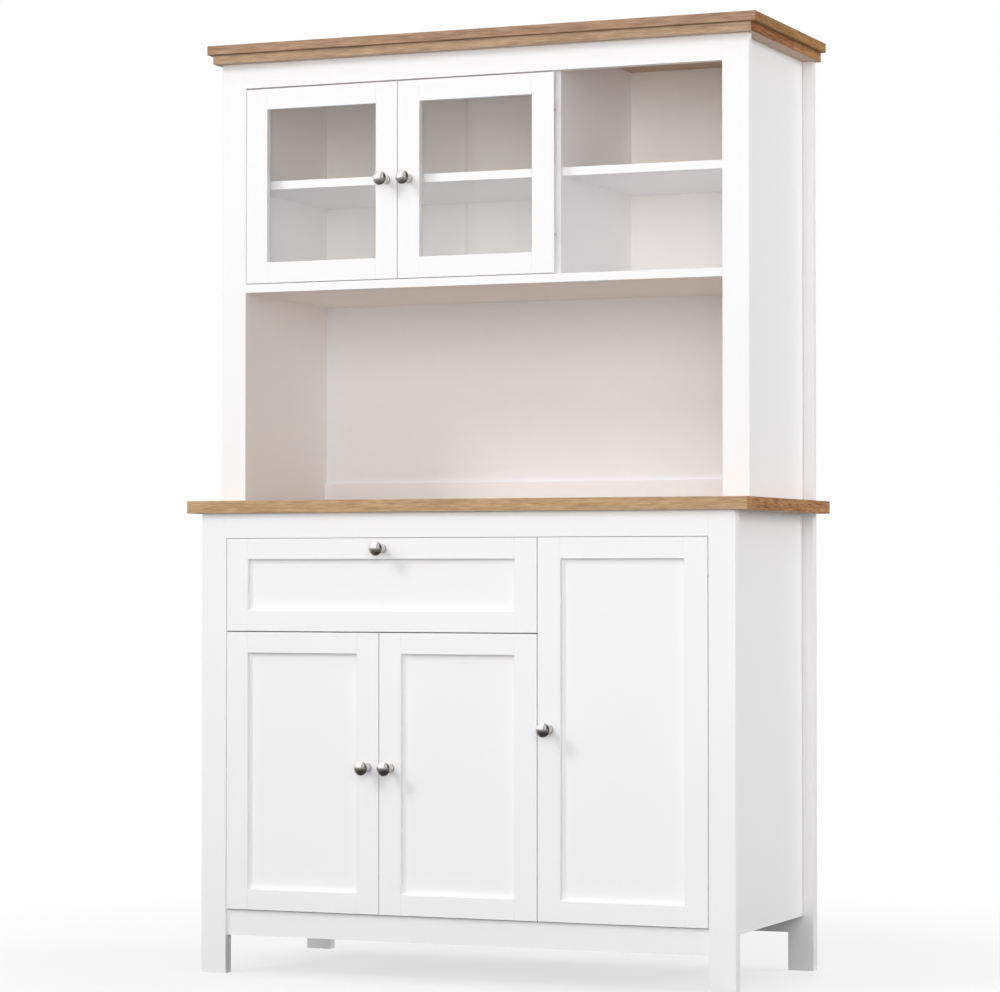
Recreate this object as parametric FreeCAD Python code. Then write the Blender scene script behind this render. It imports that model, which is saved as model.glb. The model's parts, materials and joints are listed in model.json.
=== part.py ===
import FreeCAD, Part
import math
import os

from FreeCAD import Vector

# Kitchen cupboard: a base unit on four board legs, an oak worktop and a set-back hutch with an oak cornice.
# Millimetres. +X is to the right, +Y goes to the back, +Z is up. Every Y below is measured from the front
# faces of the base posts; the finished pieces are shifted so that the origin is the middle of the footprint.

# Heights, from the floor up
LEG_CLEARANCE = 73.2
BOTTOM_RAIL_HEIGHT = 48.8
SMALL_DOOR_HEIGHT = 532.0
DRAWER_HEIGHT = 177.5
BASE_TOP_RAIL_HEIGHT = 48.0
WORKTOP_THICKNESS = 24.0
NICHE_HEIGHT = 408.0
GLASS_DOOR_HEIGHT = 379.5
HUTCH_TOP_RAIL_HEIGHT = 48.0
CORNICE_BOARD = 18.0
BACK_RAIL_HEIGHT = 45.0
HUTCH_SHELF_HEIGHT = 187.0
LEFT_SHELF_HEIGHT = 250.0
RIGHT_SHELF_HEIGHT = 340.0

# Widths
BASE_WIDTH = 1086.0
POST_WIDTH = 52.0
SIDE_INSET = 21.0
TALL_DOOR_WIDTH = 333.0
GLASS_DOOR_OVERLAY = 1.5
WORKTOP_SIDE_OVERHANG = 27.0
CORNICE_LOWER_OVERHANG = 11.0
CORNICE_UPPER_OVERHANG = 21.0

# Depths
BASE_DEPTH = 491.0
HUTCH_DEPTH = 410.0
BASE_POST_THICKNESS = 24.0
WORKTOP_FRONT_OVERHANG = 12.0
CORNICE_LOWER_FRONT = 18.0
CORNICE_UPPER_FRONT = 24.0
BOTTOM_RAIL_SETBACK = 8.0
HUTCH_SHELF_SETBACK = 9.0
BASE_SHELF_SETBACK = 60.0
CROSS_RAIL_DEPTH = 50.0

# Boards, grooves and rounded edges
BOARD = 16.0
BACK_THICKNESS = 3.0
BACK_SETBACK = 6.5
BACK_GROOVE = 5.0
FIT = 0.1
OAK_CORNER = 0.8
OAK_EDGE = 0.8
POST_EDGE = 1.0
STRIP_EDGE = 0.7

# Joining strip between the two upper back panels
BACK_JOINT_X = -192.0
BACK_JOINT_WIDTH = 6.0
BACK_JOINT_WEB = 1.6
BACK_JOINT_FLANGE = 1.0

# Doors and drawer front
POST_GAP = 1.6
DOOR_GAP = 2.0
DRAWER_GAP = 2.0
TOP_GAP = 1.0
BOTTOM_GAP = 1.5
GLASS_TOP_GAP = 3.0
DOOR_THICKNESS = 16.0
DOOR_REAR_GAP = 4.0
STILE_WIDTH = 45.0
BASE_DOOR_RAIL = 39.8
GLASS_DOOR_RAIL = 40.5
FIELD_GROOVE = 6.0
PANEL_THICKNESS = 4.0
PANEL_RECESS = 9.0
GLASS_THICKNESS = 3.0
GLASS_RECESS = 10.0
HINGE_RELIEF = 5.0

# Drawer box and its wooden runners
DRAWER_SIDE_CLEARANCE = 6.0
DRAWER_BOARD = 14.0
DRAWER_BOX_HEIGHT = 120.0
DRAWER_REAR_CLEARANCE = 37.0
DRAWER_BOX_LIFT = 16.0
DRAWER_BOTTOM_THICKNESS = 4.0
DRAWER_BOTTOM_LIFT = 9.0
DRAWER_BOTTOM_GROOVE = 6.0
RUNNER_HEIGHT = 16.0
RUNNER_TAIL = 10.0
RUNNER_GROOVE = 7.0
RUNNER_SIDE_PLAY = 1.0
RUNNER_PLAY = 0.5
RUNNER_STOP = 2.0

# Knobs, turned: radii, and heights above the door face
KNOB_BASE_RADIUS = 8.8
KNOB_BASE_HEIGHT = 2.2
KNOB_NECK_RADIUS = 5.6
KNOB_NECK_HEIGHT = 12.0
KNOB_HEAD_RADIUS = 13.75
KNOB_RIM_LOW = 25.5
KNOB_RIM_HIGH = 29.0
KNOB_REACH = 37.0
DRAWER_KNOB_OFFSET = 7.0
SMALL_KNOB_RAISE = 11.5
GLASS_KNOB_RAISE = 1.25

# Concealed hinges, measured from the door's hinge edge, behind its face and along its height
PIVOT_INSET = 13.0
PIVOT_DEPTH = 6.0
HINGE_END_DISTANCE = 72.0
CUP_RADIUS = 13.0
CUP_EDGE = 4.0
CUP_DEPTH = 11.5
CUP_WALL = 1.0
FLANGE_THICKNESS = 1.2
FLANGE_HEIGHT = 44.0
FLANGE_MARGIN = 1.0
FLANGE_CORNER = 4.0
PIN_RADIUS = 1.25
PIN_PLAY = 0.05
EYE_RADIUS = 2.6
EYE_ROOM = 0.4
ARM_HEIGHT = 5.0
ARM_ROOM = 0.4
ARM_THICKNESS = 3.0
ARM_CRANK_DEPTH = 27.0
ARM_FOOT_START = 24.0
ARM_LENGTH = 80.0

# Levels and faces that follow from the sizes above
bottom_top = LEG_CLEARANCE + BOTTOM_RAIL_HEIGHT
small_door_z = (bottom_top + BOTTOM_GAP, bottom_top + BOTTOM_GAP + SMALL_DOOR_HEIGHT)
drawer_z = (small_door_z[1] + DRAWER_GAP, small_door_z[1] + DRAWER_GAP + DRAWER_HEIGHT)
tall_door_z = (small_door_z[0], drawer_z[1])
top_rail_z = drawer_z[1] + TOP_GAP
base_top = top_rail_z + BASE_TOP_RAIL_HEIGHT
worktop_top = base_top + WORKTOP_THICKNESS
deck_z = (worktop_top + NICHE_HEIGHT, worktop_top + NICHE_HEIGHT + BOARD)
glass_door_z = (deck_z[1] + BOTTOM_GAP, deck_z[1] + BOTTOM_GAP + GLASS_DOOR_HEIGHT)
hutch_rail_z = glass_door_z[1] + GLASS_TOP_GAP
hutch_top = hutch_rail_z + HUTCH_TOP_RAIL_HEIGHT
cornice_top = hutch_top + 2 * CORNICE_BOARD
hutch_shelf_z = (deck_z[1] + HUTCH_SHELF_HEIGHT, deck_z[1] + HUTCH_SHELF_HEIGHT + BOARD)
bottom_z = (bottom_top - BOARD, bottom_top)

half_width = BASE_WIDTH / 2
post_inner = half_width - POST_WIDTH
side_outer = half_width - SIDE_INSET
side_inner = side_outer - BOARD
tall_door_x = (post_inner - POST_GAP - TALL_DOOR_WIDTH, post_inner - POST_GAP)
partition_centre = tall_door_x[0] - DOOR_GAP / 2
partition_x = (partition_centre - BOARD / 2, partition_centre + BOARD / 2)
drawer_x = (POST_GAP - post_inner, partition_centre - DOOR_GAP / 2)
small_door_width = (drawer_x[1] - drawer_x[0] - DOOR_GAP) / 2
left_door_x = (drawer_x[0], drawer_x[0] + small_door_width)
middle_door_x = (drawer_x[1] - small_door_width, drawer_x[1])
glass_x = (drawer_x[0], partition_centre + GLASS_DOOR_OVERLAY)
glass_door_width = (glass_x[1] - glass_x[0] - DOOR_GAP) / 2
left_glass_x = (glass_x[0], glass_x[0] + glass_door_width)
right_glass_x = (glass_x[1] - glass_door_width, glass_x[1])

base_rear = BASE_DEPTH
base_rear_post = base_rear - BASE_POST_THICKNESS
base_back_y = (base_rear_post + BACK_SETBACK, base_rear_post + BACK_SETBACK + BACK_THICKNESS)
carcass_front = DOOR_THICKNESS + DOOR_REAR_GAP
hutch_front = BASE_DEPTH - HUTCH_DEPTH
hutch_post_back = hutch_front + BOARD
hutch_rear_post = base_rear - BOARD
hutch_back_y = (hutch_rear_post + BACK_SETBACK, hutch_rear_post + BACK_SETBACK + BACK_THICKNESS)
divider_front = hutch_front + carcass_front
shelf_front = divider_front + HUTCH_SHELF_SETBACK

# The origin is the middle of the box round the whole cupboard, knobs included
centre_y = (BASE_DEPTH - KNOB_REACH) / 2

nodes = {}


def block(x, y, z):
    """A box from pairs of low and high limits."""
    return Part.makeBox(x[1] - x[0], y[1] - y[0], z[1] - z[0], Vector(x[0], y[0], z[0]))


def grown(x, y, z, clearance):
    """The same box with a clearance all round."""
    limits = [(pair[0] - clearance, pair[1] + clearance) for pair in (x, y, z)]
    return block(*limits)


def edges_along(board, direction):
    """The straight edges of a board along one axis."""
    return [edge for edge in board.Edges if abs(edge.tangentAt(edge.FirstParameter).dot(direction)) > 0.99]


def rounded(board, radius, direction):
    """A board with its four edges along one axis rounded."""
    return board.makeFillet(radius, edges_along(board, direction))


def bevelled(board, width, direction):
    """A board with its four edges along one axis bevelled."""
    return board.makeChamfer(width, edges_along(board, direction))


def eased(strip, front):
    """A frame strip with a small bevel round its front face, which shows as a line at each joint."""
    edges = [edge for edge in strip.Edges if abs(edge.BoundBox.YMax - front) < FIT]
    return strip.makeChamfer(STRIP_EDGE, edges)


def oak_board(x, y, z):
    """A solid oak board with its corners and edges bevelled."""
    board = bevelled(block(x, y, z), OAK_CORNER, Vector(0, 0, 1))
    rims = [edge for edge in board.Edges if edge.BoundBox.ZLength < FIT]
    return board.makeChamfer(OAK_EDGE, rims)


def mirrored(x):
    """The limits of the matching piece on the other side."""
    return (-x[1], -x[0])


def add(name, *solids):
    """Keep the solids of one node."""
    nodes[name] = list(solids)


def post_pair(prefix, x, y, z):
    """Left and right posts of one size."""
    for side, limits in (("left", mirrored(x)), ("right", x)):
        add(prefix + "_" + side + "_post", rounded(block(limits, y, z), POST_EDGE, Vector(0, 0, 1)))


def base_carcass():
    """Posts, panels, rails and shelves of the base unit."""
    post_x = (post_inner, half_width)
    rear_y = (base_rear_post, base_rear)
    rail_x = (-post_inner, post_inner)
    rear_rail_y = (base_rear_post, base_rear_post + BOARD)
    side_y = (BASE_POST_THICKNESS, base_rear_post)
    back_x = (-post_inner - BACK_GROOVE, post_inner + BACK_GROOVE)
    back_z = (bottom_top - BACK_GROOVE, top_rail_z + BACK_GROOVE)
    groove = grown(back_x, base_back_y, back_z, FIT)

    post_pair("base_front", post_x, (0, BASE_POST_THICKNESS), (0, base_top))
    post_pair("base_rear", post_x, rear_y, (0, base_top))
    for side in ("left", "right"):
        name = "base_rear_" + side + "_post"
        add(name, nodes[name][0].cut(groove))

    side_z = (bottom_z[0], base_top)
    add("base_left_side", block((-side_outer, -side_inner), side_y, side_z))
    add("base_right_side", block((side_inner, side_outer), side_y, side_z))
    add("base_bottom", block((-side_inner, side_inner), side_y, bottom_z))
    bottom_rail_y = (BOTTOM_RAIL_SETBACK, BASE_POST_THICKNESS)
    add("base_bottom_rail", block(rail_x, bottom_rail_y, (LEG_CLEARANCE, bottom_top)))
    add("base_top_rail", block(rail_x, (0, carcass_front), (top_rail_z, base_top)))
    lower = block(rail_x, rear_rail_y, (LEG_CLEARANCE, bottom_top))
    upper = block(rail_x, rear_rail_y, (top_rail_z, base_top))
    add("base_rear_rails", lower.cut(groove), upper.cut(groove))
    add("base_back", block(back_x, base_back_y, back_z))

    add("base_partition", block(partition_x, (carcass_front, base_rear_post), (bottom_top, base_top)))
    cross_z = (drawer_z[0] - (DRAWER_GAP + BOARD) / 2, drawer_z[0] - (DRAWER_GAP - BOARD) / 2)
    cross_y = (BASE_POST_THICKNESS, BASE_POST_THICKNESS + CROSS_RAIL_DEPTH)
    left_bay = (-side_inner, partition_x[0])
    right_bay = (partition_x[1], side_inner)
    add("base_cross_rail", block(left_bay, cross_y, cross_z))
    shelf_y = (BASE_SHELF_SETBACK, base_rear_post)
    left_z = (bottom_top + LEFT_SHELF_HEIGHT, bottom_top + LEFT_SHELF_HEIGHT + BOARD)
    right_z = (bottom_top + RIGHT_SHELF_HEIGHT, bottom_top + RIGHT_SHELF_HEIGHT + BOARD)
    add("base_shelves", block(left_bay, shelf_y, left_z), block(right_bay, shelf_y, right_z))


def worktop():
    """Oak worktop, flush at the back and standing out over the base at the front and sides."""
    reach = half_width + WORKTOP_SIDE_OVERHANG
    add("worktop", oak_board((-reach, reach), (-WORKTOP_FRONT_OVERHANG, base_rear), (base_top, worktop_top)))


def hutch_backs():
    """The thin back panels, and one tool that cuts all their grooves."""
    across = side_inner + BACK_GROOVE
    joint_gap = BACK_JOINT_WEB / 2 + FIT
    niche_z = (worktop_top + BACK_RAIL_HEIGHT - BACK_GROOVE, deck_z[0] + BACK_GROOVE)
    upper_z = (deck_z[1] - BACK_GROOVE, hutch_top + BACK_GROOVE)
    panels = {
        "niche_back": ((-across, across), niche_z),
        "cabinet_back": ((-across, BACK_JOINT_X - joint_gap), upper_z),
        "cubby_back": ((BACK_JOINT_X + joint_gap, across), upper_z),
    }
    grooves = []
    for name, (x, z) in panels.items():
        add(name, block(x, hutch_back_y, z))
        grooves.append(grown(x, hutch_back_y, z, FIT))

    web_x = (BACK_JOINT_X - BACK_JOINT_WEB / 2, BACK_JOINT_X + BACK_JOINT_WEB / 2)
    flange_x = (BACK_JOINT_X - BACK_JOINT_WIDTH / 2, BACK_JOINT_X + BACK_JOINT_WIDTH / 2)
    strip_z = (deck_z[1], hutch_top)
    front_y = (hutch_back_y[0] - FIT - BACK_JOINT_FLANGE, hutch_back_y[0] - FIT)
    rear_y = (hutch_back_y[1] + FIT, hutch_back_y[1] + FIT + BACK_JOINT_FLANGE)
    strip = block(web_x, (front_y[0], rear_y[1]), strip_z)
    for y in (front_y, rear_y):
        strip = strip.fuse(block(flange_x, y, strip_z))
    add("back_joint_strip", strip.removeSplitter())
    return grooves


def hutch_carcass():
    """Posts, panels, deck, shelves and rails of the hutch."""
    grooves = hutch_backs()
    tall_z = (worktop_top, hutch_top)
    front_y = (hutch_front, hutch_post_back)
    rear_y = (hutch_rear_post, base_rear)
    inside = (-side_inner, side_inner)
    rail_x = (-post_inner, post_inner)
    panel_y = (hutch_post_back, hutch_rear_post)

    post_pair("hutch_front", (post_inner, half_width), front_y, tall_z)
    rear_posts = []
    for x in ((-half_width, -side_inner), (side_inner, half_width)):
        post = rounded(block(x, rear_y, tall_z), POST_EDGE, Vector(0, 0, 1))
        rear_posts.append(post.cut(grooves))
    add("hutch_rear_posts", *rear_posts)
    add("hutch_left_side", block((-side_outer, -side_inner), panel_y, tall_z))
    add("hutch_right_side", block((side_inner, side_outer), panel_y, tall_z))
    back_rail = block(inside, rear_y, (worktop_top, worktop_top + BACK_RAIL_HEIGHT))
    add("hutch_back_rail", back_rail.cut(grooves))

    tongue = block(rail_x, front_y, deck_z)
    deck = block(inside, (hutch_post_back, base_rear), deck_z).fuse(tongue).removeSplitter()
    add("hutch_deck", deck.cut(grooves))
    add("hutch_top_rail", block(rail_x, (hutch_front, divider_front), (hutch_rail_z, hutch_top)))
    add("hutch_divider", block(partition_x, (divider_front, hutch_back_y[0]), (deck_z[1], hutch_top)))
    joint_room = BACK_JOINT_FLANGE + 2 * FIT
    shelf_y = (shelf_front, hutch_back_y[0] - joint_room)
    add("cabinet_shelf", block((-side_inner, partition_x[0]), shelf_y, hutch_shelf_z))
    add("cubby_shelf", block((partition_x[1], side_inner), shelf_y, hutch_shelf_z))

    boards = (
        ("cornice_lower_board", CORNICE_LOWER_OVERHANG, CORNICE_LOWER_FRONT, hutch_top),
        ("cornice_upper_board", CORNICE_UPPER_OVERHANG, CORNICE_UPPER_FRONT, hutch_top + CORNICE_BOARD),
    )
    for name, side, front, level in boards:
        reach = half_width + side
        board = oak_board((-reach, reach), (hutch_front - front, base_rear), (level, level + CORNICE_BOARD))
        add(name, board.cut(grooves))


def knob(x, y, z):
    """A turned knob on a door face: round base, waisted neck, domed head."""
    def at(radius, height):
        return Vector(radius, -height, 0)

    waist = at((KNOB_BASE_RADIUS + 3 * KNOB_NECK_RADIUS) / 4, (KNOB_BASE_HEIGHT + KNOB_NECK_HEIGHT) / 2)
    flare = at((2 * KNOB_NECK_RADIUS + KNOB_HEAD_RADIUS) / 3, (KNOB_NECK_HEIGHT + KNOB_RIM_LOW) / 2)
    dome = KNOB_REACH - KNOB_RIM_HIGH
    dome_radius = (KNOB_HEAD_RADIUS ** 2 + dome ** 2) / (2 * dome)
    half_angle = math.asin(KNOB_HEAD_RADIUS / dome_radius) / 2
    crown = at(dome_radius * math.sin(half_angle), KNOB_REACH - dome_radius * (1 - math.cos(half_angle)))
    edges = [
        Part.LineSegment(at(0, 0), at(KNOB_BASE_RADIUS, 0)),
        Part.LineSegment(at(KNOB_BASE_RADIUS, 0), at(KNOB_BASE_RADIUS, KNOB_BASE_HEIGHT)),
        Part.Arc(at(KNOB_BASE_RADIUS, KNOB_BASE_HEIGHT), waist, at(KNOB_NECK_RADIUS, KNOB_NECK_HEIGHT)),
        Part.Arc(at(KNOB_NECK_RADIUS, KNOB_NECK_HEIGHT), flare, at(KNOB_HEAD_RADIUS, KNOB_RIM_LOW)),
        Part.LineSegment(at(KNOB_HEAD_RADIUS, KNOB_RIM_LOW), at(KNOB_HEAD_RADIUS, KNOB_RIM_HIGH)),
        Part.Arc(at(KNOB_HEAD_RADIUS, KNOB_RIM_HIGH), crown, at(0, KNOB_REACH)),
        Part.LineSegment(at(0, KNOB_REACH), at(0, 0)),
    ]
    face = Part.Face(Part.Wire([edge.toShape() for edge in edges]))
    turned = face.revolve(Vector(0, 0, 0), Vector(0, 1, 0), 360)
    turned.translate(Vector(x, y, z))
    return turned


def placed(shape, hinge_right, edge_x, front, z):
    """Bring a hinge piece from its own frame to a door edge, mirrored where the hinge is on the right."""
    turned = shape.mirror(Vector(0, 0, 0), Vector(1, 0, 0)) if hinge_right else shape.copy()
    turned.translate(Vector(edge_x, front, z))
    return turned


def arm_pocket():
    """The slot in the door edge that the hinge arm turns in."""
    half = ARM_HEIGHT / 2 + ARM_ROOM
    x = (-DOOR_GAP, PIVOT_INSET + EYE_RADIUS + ARM_ROOM)
    y = (PIVOT_DEPTH - EYE_RADIUS - EYE_ROOM, DOOR_THICKNESS + 2 * FLANGE_THICKNESS)
    return block(x, y, (-half, half))


def cup_bore(radius, depth):
    """A round bore in the back of a door, centred on the hinge cup."""
    centre = Vector(CUP_EDGE + CUP_RADIUS, DOOR_THICKNESS, 0)
    return Part.makeCylinder(radius, depth, centre, Vector(0, -1, 0))


def hinge_cup():
    """Cup with its flange and the pin that the arm turns on."""
    across = (CUP_EDGE + FLANGE_MARGIN, CUP_EDGE + 2 * CUP_RADIUS - FLANGE_MARGIN)
    rear = (DOOR_THICKNESS, DOOR_THICKNESS + FLANGE_THICKNESS)
    flange = block(across, rear, (-FLANGE_HEIGHT / 2, FLANGE_HEIGHT / 2))
    flange = bevelled(flange, FLANGE_CORNER, Vector(0, 1, 0))
    inner = CUP_RADIUS - CUP_WALL
    hollow = cup_bore(inner, CUP_DEPTH - CUP_WALL)
    mouth = Part.makeCylinder(inner, FLANGE_THICKNESS, Vector(CUP_EDGE + CUP_RADIUS, DOOR_THICKNESS, 0),
                              Vector(0, 1, 0))
    shell = cup_bore(CUP_RADIUS, CUP_DEPTH).fuse(flange).cut([hollow, mouth, arm_pocket()])
    chord = ((CUP_RADIUS - 3 * CUP_WALL / 4) ** 2 - (CUP_EDGE + CUP_RADIUS - PIVOT_INSET) ** 2) ** 0.5
    pin = Part.makeCylinder(PIN_RADIUS, 2 * chord, Vector(PIVOT_INSET, PIVOT_DEPTH, -chord))
    return shell.fuse(pin).removeSplitter()


def hinge_arm(wall):
    """Arm from the pin to the board that carries the door, whose face lies at wall from the hinge edge."""
    half = ARM_HEIGHT / 2
    height = (-half, half)
    leg = (PIVOT_INSET - ARM_THICKNESS / 2, PIVOT_INSET + ARM_THICKNESS / 2)
    base = Vector(PIVOT_INSET, PIVOT_DEPTH, -half)
    if wall < 0:
        crank = (ARM_CRANK_DEPTH, ARM_CRANK_DEPTH + ARM_THICKNESS)
        arm = block(leg, (PIVOT_DEPTH, crank[1]), height)
        arm = arm.fuse(block((wall, leg[1]), crank, height))
        arm = arm.fuse(block((wall, wall + ARM_THICKNESS), (ARM_CRANK_DEPTH, ARM_LENGTH), height))
    else:
        arm = block(leg, (PIVOT_DEPTH, ARM_LENGTH), height)
        arm = arm.fuse(block((wall, leg[1]), (ARM_FOOT_START, ARM_LENGTH), height))
    arm = arm.fuse(Part.makeCylinder(EYE_RADIUS, ARM_HEIGHT, base))
    return arm.cut(Part.makeCylinder(PIN_RADIUS + PIN_PLAY, ARM_HEIGHT, base)).removeSplitter()


def framed_front(x, front, z, rail, recess, thickness):
    """Two full-height stiles, two rails between them and the field that sits in their grooves."""
    y = (front, front + DOOR_THICKNESS)
    left = (x[0], x[0] + STILE_WIDTH)
    right = (x[1] - STILE_WIDTH, x[1])
    between = (left[1], right[0])
    low = (z[0], z[0] + rail)
    high = (z[1] - rail, z[1])
    field_x = (between[0] - FIELD_GROOVE, between[1] + FIELD_GROOVE)
    field_y = (front + recess, front + recess + thickness)
    field_z = (low[1] - FIELD_GROOVE, high[0] + FIELD_GROOVE)
    groove = grown(field_x, field_y, field_z, FIT)
    strips = []
    for strip_x, strip_z in ((left, z), (right, z), (between, low), (between, high)):
        strips.append(eased(block(strip_x, y, strip_z), front).cut(groove))
    return strips, block(field_x, field_y, field_z)


def relief(edge_x, front, z):
    """The bevel that lets a door's rear hinge edge swing past the board behind it."""
    rear = front + DOOR_THICKNESS
    points = [Vector(edge_x - HINGE_RELIEF, rear, z[0]), Vector(edge_x, rear - HINGE_RELIEF, z[0]),
              Vector(edge_x + HINGE_RELIEF, rear, z[0]), Vector(edge_x, rear + HINGE_RELIEF, z[0])]
    return Part.Face(Part.makePolygon(points + points[:1])).extrude(Vector(0, 0, z[1] - z[0]))


def door(name, field_name, x, front, z, rail, recess, thickness, hinge_right, wall, knob_raise=0.0):
    """One hinged door with its knob and hinge cups; returns the two hinge arms for the carcass."""
    strips, field = framed_front(x, front, z, rail, recess, thickness)
    edge_x = x[1] if hinge_right else x[0]
    free_x = x[0] + STILE_WIDTH / 2 if hinge_right else x[1] - STILE_WIDTH / 2
    hinge_stile = 1 if hinge_right else 0
    bore = cup_bore(CUP_RADIUS + FIT, CUP_DEPTH + FIT)
    levels = (z[0] + HINGE_END_DISTANCE, z[1] - HINGE_END_DISTANCE)
    cuts = [relief(edge_x, front, z)]
    cups = []
    arms = []
    for level in levels:
        cuts.append(placed(bore, hinge_right, edge_x, front, level))
        cuts.append(placed(arm_pocket(), hinge_right, edge_x, front, level))
        cups.append(placed(hinge_cup(), hinge_right, edge_x, front, level))
        arms.append(placed(hinge_arm(wall), hinge_right, edge_x, front, level))
    strips[hinge_stile] = strips[hinge_stile].cut(cuts)
    add(name + "_frame", *strips)
    add(field_name, field)
    add(name + "_knob", knob(free_x, front, (z[0] + z[1]) / 2 + knob_raise))
    add(name + "_hinge_cups", *cups)
    return arms


def doors():
    """Three panelled doors below and two glazed doors above, with the arms they hang on."""
    post_wall = post_inner - POST_GAP - side_inner
    middle_wall = middle_door_x[1] - partition_x[0]
    glass_wall = right_glass_x[1] - partition_x[0]
    panel = (BASE_DOOR_RAIL, PANEL_RECESS, PANEL_THICKNESS)
    pane = (GLASS_DOOR_RAIL, GLASS_RECESS, GLASS_THICKNESS)
    arms = door("left_door", "left_door_panel", left_door_x, 0, small_door_z, *panel, False, post_wall,
                SMALL_KNOB_RAISE)
    arms += door("middle_door", "middle_door_panel", middle_door_x, 0, small_door_z, *panel, True, middle_wall,
                 SMALL_KNOB_RAISE)
    arms += door("tall_door", "tall_door_panel", tall_door_x, 0, tall_door_z, *panel, True, post_wall)
    arms += door("left_glass_door", "left_glass_pane", left_glass_x, hutch_front, glass_door_z, *pane, False,
                 post_wall, GLASS_KNOB_RAISE)
    arms += door("right_glass_door", "right_glass_pane", right_glass_x, hutch_front, glass_door_z, *pane, True,
                 glass_wall, GLASS_KNOB_RAISE)
    add("hinge_arms", *arms)


def drawer():
    """Drawer front and box, hung by grooves in its sides on two wooden runners."""
    strips, panel = framed_front(drawer_x, 0, drawer_z, BASE_DOOR_RAIL, PANEL_RECESS, PANEL_THICKNESS)
    add("drawer_front_frame", *strips)
    add("drawer_front_panel", panel)
    knob_x = (drawer_x[0] + drawer_x[1]) / 2 + DRAWER_KNOB_OFFSET
    add("drawer_knob", knob(knob_x, 0, drawer_z[1] - BASE_DOOR_RAIL / 2))

    box_x = (DRAWER_SIDE_CLEARANCE - post_inner, partition_x[0] - DRAWER_SIDE_CLEARANCE)
    box_y = (DOOR_THICKNESS, base_rear_post - DRAWER_REAR_CLEARANCE)
    box_z = (drawer_z[0] + DRAWER_BOX_LIFT, drawer_z[0] + DRAWER_BOX_LIFT + DRAWER_BOX_HEIGHT)
    inner_x = (box_x[0] + DRAWER_BOARD, box_x[1] - DRAWER_BOARD)
    floor_x = (inner_x[0] - DRAWER_BOTTOM_GROOVE, inner_x[1] + DRAWER_BOTTOM_GROOVE)
    floor_z = (box_z[0] + DRAWER_BOTTOM_LIFT, box_z[0] + DRAWER_BOTTOM_LIFT + DRAWER_BOTTOM_THICKNESS)
    add("drawer_bottom", block(floor_x, box_y, floor_z))
    add("drawer_back", block(inner_x, (box_y[1] - DRAWER_BOARD, box_y[1]), (floor_z[1], box_z[1])))

    middle = (box_z[0] + box_z[1]) / 2
    runner_z = (middle - RUNNER_HEIGHT / 2, middle + RUNNER_HEIGHT / 2)
    runner_y = (BASE_POST_THICKNESS, box_y[1] + RUNNER_TAIL)
    bite = RUNNER_GROOVE - RUNNER_SIDE_PLAY
    runners = (block((-side_inner, box_x[0] + bite), runner_y, runner_z),
               block((box_x[1] - bite, partition_x[0]), runner_y, runner_z))
    add("drawer_runners", *runners)

    slot_y = (runner_y[0] - RUNNER_STOP, box_y[1])
    slot_z = (runner_z[0] - RUNNER_PLAY, runner_z[1] + RUNNER_PLAY)
    floor_groove = grown(floor_x, box_y, floor_z, FIT)
    sides = []
    for outer, inner, slot in ((box_x[0], inner_x[0], box_x[0] + RUNNER_GROOVE),
                               (box_x[1], inner_x[1], box_x[1] - RUNNER_GROOVE)):
        side = block(sorted((outer, inner)), box_y, box_z)
        sides.append(side.cut([block(sorted((outer, slot)), slot_y, slot_z), floor_groove]))
    add("drawer_sides", *sides)


def export():
    """Write one file per node, with the origin at the middle of the footprint."""
    os.makedirs("parts", exist_ok=True)
    for name, solids in nodes.items():
        shape = solids[0] if len(solids) == 1 else Part.makeCompound(solids)
        shape.translate(Vector(0, -centre_y, 0))
        shape.exportStep("parts/" + name + ".step")


base_carcass()
worktop()
hutch_carcass()
doors()
drawer()
export()
print(len(nodes), "nodes, height", cornice_top, "origin set back", centre_y)
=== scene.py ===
"""Looks of a free-standing kitchen cupboard: white lacquer, oak worktop and cornice, nickel knobs."""

import json
import logging
import math
from dataclasses import dataclass
from enum import Enum
from typing import NamedTuple

import bpy
import numpy as np
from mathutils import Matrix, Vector

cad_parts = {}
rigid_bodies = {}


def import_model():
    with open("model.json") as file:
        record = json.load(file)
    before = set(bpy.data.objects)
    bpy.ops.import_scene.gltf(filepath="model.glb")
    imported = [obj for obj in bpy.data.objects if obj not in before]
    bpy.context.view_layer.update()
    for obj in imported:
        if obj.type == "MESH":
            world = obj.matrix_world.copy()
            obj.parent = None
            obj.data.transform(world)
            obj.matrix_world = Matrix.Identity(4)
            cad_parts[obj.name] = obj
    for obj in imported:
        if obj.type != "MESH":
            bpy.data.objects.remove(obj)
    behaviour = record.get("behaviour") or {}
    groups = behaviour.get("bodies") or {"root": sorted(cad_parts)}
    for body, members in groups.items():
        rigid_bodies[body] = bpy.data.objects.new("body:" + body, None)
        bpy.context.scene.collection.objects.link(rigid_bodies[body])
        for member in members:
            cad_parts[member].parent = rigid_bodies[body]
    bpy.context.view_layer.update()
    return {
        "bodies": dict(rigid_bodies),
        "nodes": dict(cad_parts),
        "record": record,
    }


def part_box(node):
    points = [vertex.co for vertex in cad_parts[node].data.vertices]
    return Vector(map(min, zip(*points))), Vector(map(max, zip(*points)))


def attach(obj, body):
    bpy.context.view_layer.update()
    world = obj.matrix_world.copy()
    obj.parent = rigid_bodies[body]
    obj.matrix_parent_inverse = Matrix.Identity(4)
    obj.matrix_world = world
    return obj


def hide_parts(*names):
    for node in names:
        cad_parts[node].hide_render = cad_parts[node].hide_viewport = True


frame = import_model()

LOG = logging.getLogger("cupboard")
MM = 0.001
IMAGE_WIDTH_PX = 1000
SENSOR_WIDTH_MM = 36.0
WHITE = "ffffff"

# A face points along an axis where its normal's share of that axis is past this
FACING = 0.6

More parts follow.
